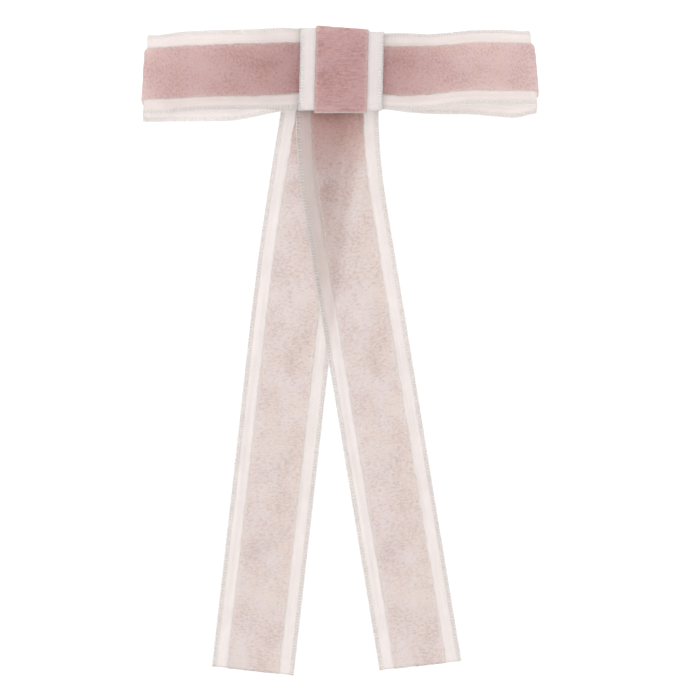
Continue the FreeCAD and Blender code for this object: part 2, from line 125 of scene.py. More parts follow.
# Tails, as in the CAD model, in millimetres and degrees: where each centre line starts, its heading, and its
# straight run, arc and straight run. cut is the slant of the cut end.
TAIL_TOP_Z = 8.0 * MM
TAILS = {
    "left": {
        "top_x": -2.3,
        "heading": -9.4,
        "first": 38.0,
        "radius": 878.0,
        "turn": 3.0,
        "last": 106.0,
        "cut": 0.0,
    },
    "right": {
        "top_x": -1.3,
        "heading": 0.0,
        "first": 18.0,
        "radius": 198.0,
        "turn": 9.3,
        "last": 138.5,
        "cut": 0.05,
    },
}

# Cloth looks: the colour sent back, the colour let through and the share let through. The three are lit and
# shaded copies of one ribbon, so the tails let more light through and the knot less than the loops. The
# knot's velvet is darker as painted shade, its satin sends back more as a painted highlight, and the tails'
# paler, greyer looks are painted light.
SATIN_LOOKS = {
    "tail": ((0.94, 0.80, 0.79), (0.915, 0.915, 0.905), 0.74),
    "loop": ((0.96, 0.87, 0.85), (0.96, 0.94, 0.93), 0.60),
    "knot": ((0.96, 0.88, 0.87), (0.95, 0.93, 0.92), 0.34),
}
PILE_LOOKS = {
    "tail": ((0.88, 0.47, 0.45), (0.89, 0.975, 0.975), 0.745),
    "loop": ((0.85, 0.41, 0.425), (0.97, 0.98, 0.98), 0.735),
    "knot": ((0.73, 0.38, 0.38), (0.82, 0.78, 0.775), 0.55),
}

# Tint of the satin's bare margins, and the share of it that the woven strip under the selvedges keeps, a
# painted shade between the selvedge's rungs
MARGIN_TINT = {
    "tail": (0.965, 0.955, 0.95),
    "loop": (0.995, 1.0, 1.0),
    "knot": (0.98, 0.985, 0.985),
}
STRIP_SHADE = 0.96

# Where along its noise, from 0 to 1, the pile is deep, plain and light, and the turn of its brushed streaks
NAP_STOPS = (0.41, 0.5, 0.59)
NAP_TURN = math.radians(12)

# The velvet's thin edges: the colours sent back and let through, and how far these replace the pile's own
PILE_RIM = (0.97, 0.82, 0.76)
RIM_THROUGH = (0.96, 0.955, 0.935)
RIM_SHARE = {"tail": 0.9, "loop": 0.6, "knot": 0.5}

# The pale ground that shows where the pile parts over a fold
PARTED = (0.97, 0.84, 0.82)

# Painted shade on the light let through the cloth near the knot: the millimetres over which it fades, and its
# tint. On the tails it is a painted shadow under the knot; on the loops, the shade of the clip and the bow's
# middle behind them.
TAIL_PAINTED_SHADE = ((17.0, 40.0), (0.77, 0.55, 0.52))
LOOP_PAINTED_SHADE = ((12.0, 66.0), (0.78, 0.705, 0.70))

# How much tanner the tails' pile turns for each millimetre across
TAN_LEAN = 0.012

rng = np.random.default_rng(20)


def ease(x):
    """0 below 0, 1 above 1, and smooth between."""
    x = np.clip(x, 0, 1)
    return x * x * (3 - 2 * x)


def eased(value, start, over):
    """A smooth rise from 0 to 1 that begins at start and takes over, both in millimetres."""
    return ease((value - start * MM) / (over * MM))


def value_noise(a, b, cell, seed):
    """Smooth noise from -1 to 1 over two coordinates, with features of about cell."""
    size = 256
    table = np.random.default_rng(seed).uniform(-1, 1, (size, size))
    x, y = a / cell, b / cell
    i, j = np.floor(x).astype(int), np.floor(y).astype(int)
    u, v = ease(x - i), ease(y - j)

    def at(di, dj):
        return table[(i + di) % size, (j + dj) % size]

    low = at(0, 0) * (1 - u) + at(1, 0) * u
    high = at(0, 1) * (1 - u) + at(1, 1) * u
    return low * (1 - v) + high * v


# Placing functions


class Ring:
    """A closed ribbon path through points in a plane, with its outward normals."""

    def __init__(self, points):
        points = np.asarray(points, float)
        closed = np.vstack([points, points[:1]])
        steps = np.linalg.norm(np.diff(closed, axis=0), axis=1)
        self.at = np.concatenate([[0], np.cumsum(steps)])
        self.length = self.at[-1]
        self.points = closed
        turns = np.roll(points, -1, 0) - np.roll(points, 1, 0)
        normals = np.stack([turns[:, 1], -turns[:, 0]], 1)
        normals /= np.linalg.norm(normals, axis=1)[:, None]
        area = np.sum(points[:, 0] * np.roll(points[:, 1], -1) - np.roll(points[:, 0], -1) * points[:, 1])
        normals *= math.copysign(1, area)
        self.normals = np.vstack([normals, normals[:1]])

    def sample(self, along):
        """Points and normals at distances along the ring."""
        along = np.mod(along, self.length)
        spot = [np.interp(along, self.at, self.points[:, k]) for k in (0, 1)]
        way = [np.interp(along, self.at, self.normals[:, k]) for k in (0, 1)]
        size = np.hypot(*way)
        return spot[0], spot[1], way[0] / size, way[1] / size


def top_squeeze(x):
    """The share of its height that the bow's upper edge keeps where the knot presses it down."""
    pressed = ease((x + KNOT_SIDE) / (2 * KNOT_SIDE))
    return 1 - TOP_SQUEEZE * pressed * (1 - eased(x, start=24, over=20))


def eased_through(far, points):
    """A smooth run through points of (distance in mm, value in mm), in metres."""
    result = np.full(far.shape, points[0][1] * MM)
    for (here, low), (there, high) in zip(points, points[1:]):
        result = result + (high - low) * MM * eased(far, here, there - here)
    return result


class Loop:
    """The bow's ring of ribbon, from above: pinched under the knot, open in each loop, folded at the ends.

    The front layer is nearly level and the back layer hangs a little lower. Both loops lean back, the right
    one more. The ring starts and ends behind the knot, goes round the left loop first, and is in front of
    the knot at half its length.

    In the tables -1 is the left loop and 1 is the right one, and a height is (distance from the knot's
    middle, height), both in millimetres. END_INSET shortens a loop, or lengthens it where it is negative.
    END_TILT and CORNER take the upper part of its end in, CORNER_DROP lowers its upper corner, and
    LOWER_CORNER lets its lower corner out. Near the knot the ribbon is narrower by the share NARROWING. WAVES
    is the height of its unevenness, in millimetres.
    """

    PINCH = 0.22 * MM
    FOLD = 1.75 * MM
    FRONT_BULGE = 2.2 * MM
    BACK_BULGE = 2.6 * MM
    BULGE_LOSS = 0.32
    FRONT_HEIGHT = {
        -1: ((0, 0.2), (12, 0.3), (33, -0.5), (57, -1.2)),
        1: ((0, 0.1), (22, -0.2), (40, 0.7), (57, 0.8)),
    }
    BACK_HEIGHT = {
        -1: ((0, 0), (14, 0), (36, -3.1), (48, -3.2), (57, -3.4)),
        1: ((0, 0), (12, -0.1), (36, -1.9), (52, -3.0), (59, -1.8)),
    }
    LOWER_CURL = {-1: math.radians(38), 1: math.radians(16)}
    UPPER_CURL = {-1: math.radians(14), 1: math.radians(22)}
    LEAN = {-1: math.radians(5), 1: math.radians(20)}
    END_TILT = 1.0 * MM
    END_INSET = {-1: -0.3 * MM, 1: 0.7 * MM}
    CORNER = {-1: 0.1 * MM, 1: 0.3 * MM}
    CORNER_DROP = {-1: 1.0 * MM, 1: 0.9 * MM}
    LOWER_CORNER = 0.3 * MM
    NARROWING = 0.045
    WAVES = 0.22
    OPENS_OVER = 12 * MM
    LEANS_OVER = 24 * MM

    def __init__(self):
        middle = (KNOT_LOW.y + KNOT_HIGH.y) / 2
        end = (LOOP_HIGH.x - LOOP_LOW.x) / 2 - VELVET_THICK - VELVET_GAP - SATIN_THICK / 2
        fold = self.FOLD
        x = np.linspace(-(end - fold), end - fold, 700)
        out = np.abs(x)
        rise = eased(out, start=11, over=24)
        settle = 1 - self.BULGE_LOSS * eased(out, start=34, over=26)
        front = middle - self.PINCH - self.FRONT_BULGE * rise * settle
        back = middle + self.PINCH + self.BACK_BULGE * rise * settle
        turn = np.linspace(0, math.pi, 60)[1:-1]

        def cap(side, low, high):
            half = (high - low) / 2
            reach = side * (end - fold + fold * np.sin(turn))
            return np.stack([reach, (low + high) / 2 - half * np.cos(turn)], 1)

        right = cap(1, front[-1], back[-1])
        left = cap(-1, front[0], back[0])[::-1]
        points = np.vstack([np.stack([x, front], 1), right, np.stack([x, back], 1)[::-1], left])
        seam = len(x) + len(right) + len(x) // 2
        self.ring = Ring(np.roll(points, -seam, 0))
        self.length = self.ring.length

    def place(self, along, across, out):
        x, y, nx, ny = self.ring.sample(along)
        left = x < 0
        side = np.where(left, -1, 1)
        far = np.abs(x)

        def sided(table):
            return np.where(left, table[-1], table[1])

        def height_of(table):
            return np.where(left, eased_through(far, table[-1]), eased_through(far, table[1]))

        front = ease(0.5 - ny)
        level = front * height_of(self.FRONT_HEIGHT) + (1 - front) * height_of(self.BACK_HEIGHT)
        opened = ease((far - KNOT_SIDE) / self.OPENS_OVER)
        near_end = eased(far, start=46, over=11)
        curl = np.where(across < 0, sided(self.LOWER_CURL), sided(self.UPPER_CURL))
        curl = curl * front * opened * (1 - near_end)
        margin = np.maximum(np.abs(across) - VELVET_HALF, 0)
        height = np.sign(across) * (np.abs(across) - margin * (1 - np.cos(curl)))
        out = out - margin * np.sin(curl)
        waves = value_noise(along, across, 11 * MM, 3)
        out = out + waves * self.WAVES * MM * opened
        height = height * (1 - self.NARROWING * (1 - eased(far, start=11, over=10)))
        height = np.where(height > 0, height * top_squeeze(x), height)
        height = height - sided(self.CORNER_DROP) * near_end * eased(across, start=5, over=7)
        tilt = self.END_TILT * np.clip(across + VELVET_HALF, 0, 2 * VELVET_HALF) / (2 * VELVET_HALF)
        rounding = sided(self.CORNER) * eased(across, start=8.5, over=4)
        rounding = rounding - self.LOWER_CORNER * eased(-across, start=8, over=2.5)
        x = x - side * near_end * (sided(self.END_INSET) + tilt + rounding)
        lean = sided(self.LEAN) * ease((far - KNOT_SIDE) / self.LEANS_OVER)
        depth = y + ny * out + height * np.sin(lean)
        return np.stack([BOW_X + x + nx * out, depth, height * np.cos(lean) + level], 1)


class Knot:
    """The wrap round the middle of the bow, seen from the side. It starts at its lower front corner.

    PARTING is the stretch along it, in millimetres, where the pile parts over that corner. FACE_HALF is half
    the height of the front face, which swells a little.
    """

    PARTING = (1.0, 2.2)
    FACE_HALF = 11.4 * MM
    CORNER_RADIUS = 1.1 * MM
    SPACING = 0.2 * MM
    SWELL = 0.4 * MM
    LEAN = 0.3 * MM

    def __init__(self):
        skin = SATIN_THICK / 2
        snug = 0.45 * MM
        low = np.array([KNOT_LOW.y + skin, KNOT_LOW.z + skin + snug])
        high = np.array([KNOT_HIGH.y - skin, KNOT_HIGH.z - skin - snug])
        points = []
        for cy, cz, start in ((0, 0, 180), (1, 0, 270), (1, 1, 0), (0, 1, 90)):
            centre = np.array([(low[0], high[0])[cy], (low[1], high[1])[cz]])
            centre += self.CORNER_RADIUS * np.array([1 - 2 * cy, 1 - 2 * cz])
            for a in np.radians(np.linspace(start, start + 90, 24)):
                points.append(centre + self.CORNER_RADIUS * np.array([math.cos(a), math.sin(a)]))
        dense = []
        points = np.array(points)
        for here, there in zip(points, np.roll(points, -1, 0)):
            count = max(1, int(np.linalg.norm(there - here) / self.SPACING))
            for k in range(count):
                dense.append(here + (there - here) * k / count)
        self.ring = Ring(dense)
        self.length = self.ring.length

    def place(self, along, across, out):
        y, z, ny, nz = self.ring.sample(along)
        front = ease(0.5 - ny)
        flatness = np.clip(1 - (z / self.FACE_HALF) ** 2, 0, 1)
        soft = value_noise(along, across, 6 * MM, 9) * 0.12 * MM
        swell = self.SWELL * np.cos(across / SATIN_HALF * 1.4)
        out = out + (soft + swell) * front * flatness
        top = np.where(z > 0, top_squeeze(across), 1)
        lean = self.LEAN * (z / SATIN_HALF)
        return np.stack([BOW_X + across + lean, y + ny * out, (z + nz * out) * top], 1)


class Tail:
    """A tail: a straight run, an arc and a straight run, with a gentle ripple down its length."""

    def __init__(self, side):
        self.shape = TAILS[side]
        low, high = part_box(f"tail_{side}_satin")
        self.y = (low.y + high.y) / 2
        self.first = self.shape["first"] * MM
        self.radius = self.shape["radius"] * MM
        self.bend = self.radius * math.radians(self.shape["turn"])
        self.length = self.first + self.bend + self.shape["last"] * MM
        self.cut = self.shape["cut"]

    def place(self, along, across, out):
        along = along * (1 + self.cut * across / self.length)
        heading = math.radians(self.shape["heading"])
        turned = np.clip((along - self.first) / self.radius, 0, math.radians(self.shape["turn"]))
        now = heading + turned
        first = np.minimum(along, self.first)
        last = np.maximum(along - self.first - self.bend, 0)
        x = BOW_X + self.shape["top_x"] * MM + math.sin(heading) * first
        z = TAIL_TOP_Z - math.cos(heading) * first
        x = x + self.radius * (math.cos(heading) - np.cos(now)) + np.sin(now) * last
        z = z - self.radius * (np.sin(now) - math.sin(heading)) - np.cos(now) * last
        x = x + np.cos(now) * across
        z = z + np.sin(now) * across
        hang = eased(-z, start=22, over=60)
        long_wave = 1.3 * MM * np.sin(z / (29 * MM))
        short_wave = 0.5 * MM * np.sin(z / (13 * MM) + 1)
        sway = hang * (long_wave - short_wave)
        cup = hang * 0.3 * MM * (across / SATIN_HALF) ** 2
        y = self.y - out + sway + cup
        return np.stack([x, y, z], 1)


# Mesh building


class Cloth:
    """Collects closed shells given as (along, across, out) and places them all at the end."""

    def __init__(self, place):
        self.place = place
        self.flat = []
        self.faces = []
        self.skins = []
        self.count = 0

    def add(self, flat, faces, skin=0):
        """Adds a shell. skin is its material's number, or one number a face."""
        self.flat.append(flat)
        self.faces.append(faces + self.count)
        self.skins.append(np.broadcast_to(skin, len(faces)))
        self.count += len(flat)

    def grid(self, along, across, back, front, closed, back_skin=0):
        """A slab of cloth between two surfaces over (along, across). back_skin is its back's material."""
        s, v = np.meshgrid(along, across, indexing="ij")
        rows, cols = s.shape
        s, v = s.ravel(), v.ravel()
        low = np.stack([s, v, back(s, v)], 1)
        high = np.stack([s, v, front(s, v)], 1)
        index = np.arange(rows * cols).reshape(rows, cols)
        following = np.roll(index, -1, 0) if closed else index[1:]
        current = index if closed else index[:-1]
        a, b = current[:, :-1].ravel(), following[:, :-1].ravel()
        c, d = following[:, 1:].ravel(), current[:, 1:].ravel()
        top = rows * cols
        faces = [np.stack([a, b, c, d], 1), np.stack([a, d, c, b], 1) + top]
        for col, flip in ((0, False), (cols - 1, True)):
            a, b = current[:, col].ravel(), following[:, col].ravel()
            wall = np.stack([a, a + top, b + top, b], 1)
            faces.append(wall[:, ::-1] if flip else wall)
        if not closed:
            for row, flip in ((0, True), (rows - 1, False)):
                a, b = index[row, :-1], index[row, 1:]
                wall = np.stack([a, a + top, b + top, b], 1)
                faces.append(wall[:, ::-1] if flip else wall)
        faces = np.vstack(faces)
        skins = np.zeros(len(faces))
        skins[: current[:, 1:].size] = back_skin
        self.add(np.vstack([low, high]), faces, skins)

    def tubes(self, centres, radii, ways, skin=0, sides=6):
        """Closed tubes. centres is (tubes, rings, 3), radii (tubes, rings), ways the two flat directions."""
        tubes, rings, _ = centres.shape
        angle = np.arange(sides) * 2 * math.pi / sides
        circle = np.cos(angle)[:, None] * ways[0] + np.sin(angle)[:, None] * ways[1]
        flat = centres[:, :, None, :] + radii[:, :, None, None] * circle
        flat = flat.reshape(-1, 3)
        one = []
        for r in range(rings - 1):
            for k in range(sides):
                n = (k + 1) % sides
                one.append([r * sides + k, r * sides + n, (r + 1) * sides + n, (r + 1) * sides + k])
        for r, flip in ((0, True), (rings - 1, False)):
            for k in range(1, sides - 2, 2):
                cap = [r * sides, r * sides + k, r * sides + k + 1, r * sides + k + 2]
                one.append(cap[::-1] if flip else cap)
        one = np.array(one)
        starts = np.arange(tubes)[:, None, None] * rings * sides
        self.add(flat, (one[None] + starts).reshape(-1, 4), skin)

    def spikes(self, roots, tips, width, skin=0):
        """Single fibres: closed three-sided spikes from roots to tips in flat coordinates."""
        count = len(roots)
        along = tips - roots
        along /= np.linalg.norm(along, axis=1)[:, None]
        askew = [0.31, 0.2, 0.93]
        side = np.cross(along, np.tile(askew, (count, 1)))
        side /= np.linalg.norm(side, axis=1)[:, None]
        other = np.cross(along, side)
        ring = []
        for k in range(3):
            a = 2 * math.pi * k / 3
            ring.append(roots + width * (math.cos(a) * side + math.sin(a) * other))
        flat = np.stack(ring + [tips], 1).reshape(-1, 3)
        one = np.array([[0, 1, 3, 3], [1, 2, 3, 3], [2, 0, 3, 3], [2, 1, 0, 0]])
        starts = np.arange(count)[:, None, None] * 4
        self.add(flat, (one[None] + starts).reshape(-1, 4), skin)

    def build(self, name, materials):
        """Makes the object. Its attribute cloth keeps each point's flat coordinates for the materials."""
        flat = np.vstack(self.flat)
        points = self.place(flat[:, 0], flat[:, 1], flat[:, 2])
        faces = [row[:3] if row[2] == row[3] else row for row in np.vstack(self.faces).tolist()]
        mesh = bpy.data.meshes.new(name)
        mesh.from_pydata(points.tolist(), [], faces)
        spot = mesh.attributes.new("cloth", "FLOAT_VECTOR", "POINT")
        spot.data.foreach_set("vector", flat.astype(np.float32).ravel())
        for material in materials:
            mesh.materials.append(material)
        mesh.polygons.foreach_set("material_index", np.concatenate(self.skins).astype(np.int32))
        mesh.shade_smooth()
        piece = bpy.data.objects.new(name, mesh)
        bpy.context.scene.collection.objects.link(piece)
        return piece


def satin_piece(name, shape, closed, materials):
    """A satin ribbon: the sheet, and along each edge a selvedge of raised rungs with a cord at each side."""
    cloth = Cloth(shape.place)
    rows = int(round(shape.length / SATIN_GRID))
    along = np.linspace(0, shape.length, rows, endpoint=not closed)
    selvedge = SATIN_HALF - SELVEDGE_DEPTH
    inner = np.linspace(-VELVET_HALF - 0.6 * MM, VELVET_HALF + 0.6 * MM, 15)
    outer = np.concatenate([np.linspace(9.2 * MM, selvedge, 5), np.linspace(11.3, 12.2, 4) * MM])
    across = np.concatenate([-outer[::-1], inner, outer])

    def half(s, v):
        thinning = 0.45 * ease((np.abs(v) - selvedge) / (0.3 * MM))
        return SATIN_THICK / 2 * (1 - thinning)

    cloth.grid(along, across, lambda s, v: -half(s, v), half, closed)
    count = int(shape.length / RUNG_PITCH)
    places = (np.arange(count) + 0.5) * shape.length / count
    reach = np.array([0.0, 0.3, 0.65, 0.95]) * SELVEDGE_DEPTH + selvedge
    swelling = np.array([0.8, 1.15, 1.1, 0.85])
    rung_ways = (np.array([1.0, 0, 0]), np.array([0, 0, 1.15]))
    cord_ways = (np.array([0, 1.0, 0]), np.array([0, 0, 1.2]))
    for side in (-1, 1):
        wander = rng.normal(0, 0.03 * MM, count)
        centres = np.zeros((count, len(reach), 3))
        centres[:, :, 0] = (places + wander)[:, None] + rng.normal(0, 0.025 * MM, (count, len(reach)))
        centres[:, :, 1] = side * reach
        centres[:, :, 2] = rng.normal(0, 0.015 * MM, (count, len(reach)))
        thick = RUNG_RADIUS * rng.uniform(0.85, 1.15, (count, 1)) * swelling
        cloth.tubes(centres, thick, rung_ways, 1)
        steps = int(shape.length / (RUNG_PITCH / 3))
        s = np.linspace(0, shape.length, steps)
        for place, size in ((SATIN_HALF - CORD_RADIUS, 1.0), (selvedge, 0.6)):
            line = np.zeros((1, steps, 3))
            line[0, :, 0] = s
            line[0, :, 1] = side * (place + 0.04 * MM * np.cos(s * 2 * math.pi / RUNG_PITCH))
            radius = size * CORD_RADIUS * (1 + 0.18 * np.sin(s * 2 * math.pi / RUNG_PITCH))
            cloth.tubes(line, radius[None], cord_ways, 1)
    if not closed:
        frayed_threads(cloth, shape.length)
    return cloth.build(name, materials)


def frayed_threads(cloth, end):
    """A few loose threads at the cut end of a satin ribbon. The first of them are longer, at its corners."""
    count = 46
    corner = 10
    across = rng.uniform(-SATIN_HALF, SATIN_HALF, count)
    across[:corner] = rng.choice([-1, 1], corner) * rng.uniform(11.2, 12.4, corner) * MM
    length = rng.uniform(0.15, 0.45, count) * MM
    length[:corner] = rng.uniform(0.4, 0.9, corner) * MM
    roots = np.stack([np.full(count, end - 0.1 * MM), across, np.zeros(count)], 1)
    aside = rng.normal(0, 0.25, count) * length
    lift = rng.normal(0, 0.25, count) * length
    tips = roots + np.stack([length, aside, lift], 1)
    cloth.spikes(roots, tips, CUT_FIBRE_RADIUS)


def velvet_piece(name, shape, closed, materials, seed, taper):
    """A velvet ribbon: uneven pile that thins out over taper at its edges, and fibres standing out of it."""
    cloth = Cloth(shape.place)
    rows = int(round(shape.length / PILE_GRID))
    along = np.linspace(0, shape.length, rows, endpoint=not closed)
    inner = np.linspace(-6.9 * MM, 6.9 * MM, 39)
    outer = np.array([7.15, 7.35, 7.55, 7.7, 7.85, 7.95, 8.0]) * MM
    across = np.concatenate([-outer[::-1], inner, outer])
    base = SATIN_THICK / 2 + VELVET_GAP
    start, end = (-1, shape.length + 1) if closed else (0, shape.length)

    def front(s, v):
        edge = np.minimum(VELVET_HALF - np.abs(v), np.minimum(s - start, end - s))
        edge = edge + taper * 0.25 * value_noise(s, v, 0.7 * MM, seed + 2)
        crown = ease(edge / taper)
        tufts = 0.09 * value_noise(s, v, 1.5 * MM, seed) + 0.08 * value_noise(s, v, 0.6 * MM, seed + 1)
        return base + VELVET_THICK * (PILE_START + PILE_RISE * crown + tufts * crown)

    cloth.grid(along, across, lambda s, v: base + 0 * s, front, closed, back_skin=1)
    sheet = cloth.flat[0]
    side = np.sign(sheet[:, 1])
    wander = value_noise(sheet[:, 0], side * 9 * MM, 2.6 * MM, seed + 3)
    wander += 0.6 * value_noise(sheet[:, 0], side * 9 * MM, 0.9 * MM, seed + 4)
    near_edge = eased(np.abs(sheet[:, 1]), start=6, over=2)
    sheet[:, 1] += side * near_edge * (0.24 * taper * wander - 0.1 * MM)
    edge_fibres(cloth, shape.length, closed, front)
    surface_fibres(cloth, shape.length, front)
    return cloth.build(name, materials)


def edge_fibres(cloth, length, closed, front):
    """The pile that leans out past the velvet's edges, and past its cut end where it has one."""
    count = int(length / (0.09 * MM))
    for side in (-1, 1):
        s = rng.uniform(0.1 * MM, length - 0.1 * MM, count)
        v = side * (VELVET_HALF - rng.uniform(0.05, 0.7, count) * MM)
        reach = rng.uniform(0.15, 0.5, count) * MM
        roots = np.stack([s, v, front(s, v) - 0.06 * MM], 1)
        sweep = rng.normal(0, 0.45, count) * reach
        tips = roots + np.stack([sweep, side * reach, rng.uniform(-0.1, 0.4, count) * reach], 1)
        cloth.spikes(roots, tips, FIBRE_RADIUS, 1)
    if closed:
        return
    count = 260
    v = rng.uniform(-7.8, 7.8, count) * MM
    reach = rng.uniform(0.1, 0.35, count) * MM
    inset = 0.12 * MM
    level = rng.uniform(0.25, 0.6, count) * VELVET_THICK
    roots = np.stack([np.full(count, length - inset), v, level], 1)
    tips = roots + np.stack([reach + inset, rng.normal(0, 0.4, count) * reach, 0 * v], 1)
    cloth.spikes(roots, tips, CUT_FIBRE_RADIUS)


def surface_fibres(cloth, length, front):
    """Tufts of pile that stand a little proud of the velvet's face."""
    count = int(length * 2 * VELVET_HALF / (0.42 * MM) ** 2)
    s = rng.uniform(0.3 * MM, length - 0.3 * MM, count)
    v = rng.uniform(-7.6, 7.6, count) * MM
    reach = rng.uniform(0.1, 0.26, count) * MM
    sunk = 0.06 * MM
    roots = np.stack([s, v, front(s, v) - sunk], 1)
    lean = rng.normal(0, 0.5, (2, count)) * reach
    tips = roots + np.stack([lean[0] + 0.4 * reach, lean[1], reach + sunk], 1)
    # The tufts take the pale ground colour, slot 1, as a painted sheen on the pile's tips.
    cloth.spikes(roots, tips, FIBRE_RADIUS, 1)


# Materials


def new_material(name):
    material = bpy.data.materials.new(name)
    material.use_nodes = True
    nodes = material.node_tree.nodes
    nodes.clear()
    out = nodes.new("ShaderNodeOutputMaterial")
    return material, nodes, material.node_tree.links, out


def cloth_coordinates(nodes, links, scale, turn=0.0):
    """The flat cloth's own coordinates, in millimetres times scale, turned in its plane.

    A turned mapping is of the kind that divides by its scale, where the plain kind multiplies.
    """
    spot = nodes.new("ShaderNodeAttribute")
    spot.attribute_name = "cloth"
    mapping = nodes.new("ShaderNodeMapping")
    mapping.vector_type = "TEXTURE" if turn else "POINT"
    if turn:
        mapping.inputs["Rotation"].default_value = (0, 0, turn)
        scale = [1 / (1e6 * k) for k in scale]
    mapping.inputs["Scale"].default_value = [1000 * k for k in scale]
    links.new(spot.outputs["Vector"], mapping.inputs["Vector"])
    return mapping.outputs["Vector"]


def noise(nodes, links, where, scale, detail=3.0, rough=0.55):
    texture = nodes.new("ShaderNodeTexNoise")
    texture.inputs["Scale"].default_value = scale
    texture.inputs["Detail"].default_value = detail
    texture.inputs["Roughness"].default_value = rough
    links.new(where, texture.inputs["Vector"])
    return texture.outputs["Fac"]


def ramp(nodes, links, value, stops):
    node = nodes.new("ShaderNodeValToRGB")
    elements = node.color_ramp.elements
    while len(elements) < len(stops):
        elements.new(0.5)
    for element, (place, colour) in zip(elements, stops):
        element.position = place
        element.color = (*colour, 1)
    links.new(value, node.inputs["Fac"])
    return node.outputs["Color"]


def maths(nodes, links, kind, *values):
    node = nodes.new("ShaderNodeMath")
    node.operation = kind
    for socket, value in zip(node.inputs, values):
        if isinstance(value, (int, float)):
            socket.default_value = value
        else:
            links.new(value, socket)
    return node.outputs[0]


def bump(nodes, links, height, strength, distance):
    node = nodes.new("ShaderNodeBump")
    node.inputs["Strength"].default_value = strength
    node.inputs["Distance"].default_value = distance
    links.new(height, node.inputs["Height"])
    return node.outputs["Normal"]


def scaled(colour, k):
    return tuple(c * k for c in colour)


def split(nodes, links, flat):
    """The flat cloth's coordinates one by one, in millimetres: X runs along the ribbon and Y across it."""
    parts = nodes.new("ShaderNodeSeparateXYZ")
    links.new(flat, parts.inputs[0])
    return parts.outputs


def along_of(nodes, links, flat):
    """How far a point is along the ribbon, in millimetres."""
    return split(nodes, links, flat)["X"]


def across_of(nodes, links, flat):
    """How far a point is from the ribbon's centre line, in millimetres, negative on one side."""
    return split(nodes, links, flat)["Y"]


def distance_from_middle(nodes, links, flat):
    """How far a point is from the ribbon's centre line, in millimetres."""
    return maths(nodes, links, "ABSOLUTE", across_of(nodes, links, flat))


def along_band(nodes, links, flat, stretch):
    """1 over a stretch along the ribbon, in millimetres, and 0 elsewhere, with soft ends."""
    middle, half = sum(stretch) / 2, (stretch[1] - stretch[0]) / 2
    offset = maths(nodes, links, "SUBTRACT", along_of(nodes, links, flat), middle)
    inside = maths(nodes, links, "SUBTRACT", half, maths(nodes, links, "ABSOLUTE", offset))
    steep = maths(nodes, links, "MAXIMUM", 0.0, maths(nodes, links, "MULTIPLY", inside, 4.0))
    return maths(nodes, links, "MINIMUM", 1.0, steep)


def blended(nodes, links, kind, share, first, second):
    """A colour mix of two colours, each a socket or a plain colour."""
    node = nodes.new("ShaderNodeMix")
    node.data_type = "RGBA"
    node.blend_type = kind
    for socket, value in ((node.inputs[0], share), (node.inputs[6], first), (node.inputs[7], second)):
        if isinstance(value, tuple):
            socket.default_value = (*value, 1)
        elif isinstance(value, float):
            socket.default_value = value
        else:
            links.new(value, socket)
    return node.outputs[2]


def cloth_shader(nodes, links, out, face, reflected, passed, share):
    """Joins a cloth's face to the light that it lets through. share is the part let through."""
    links.new(reflected, face.inputs["Base Color"])
    glow = nodes.new("ShaderNodeBsdfTranslucent")
    links.new(passed, glow.inputs["Color"])
    both = nodes.new("ShaderNodeMixShader")
    both.inputs["Fac"].default_value = share
    links.new(face.outputs[0], both.inputs[1])
    links.new(glow.outputs[0], both.inputs[2])
    links.new(both.outputs[0], out.inputs["Surface"])


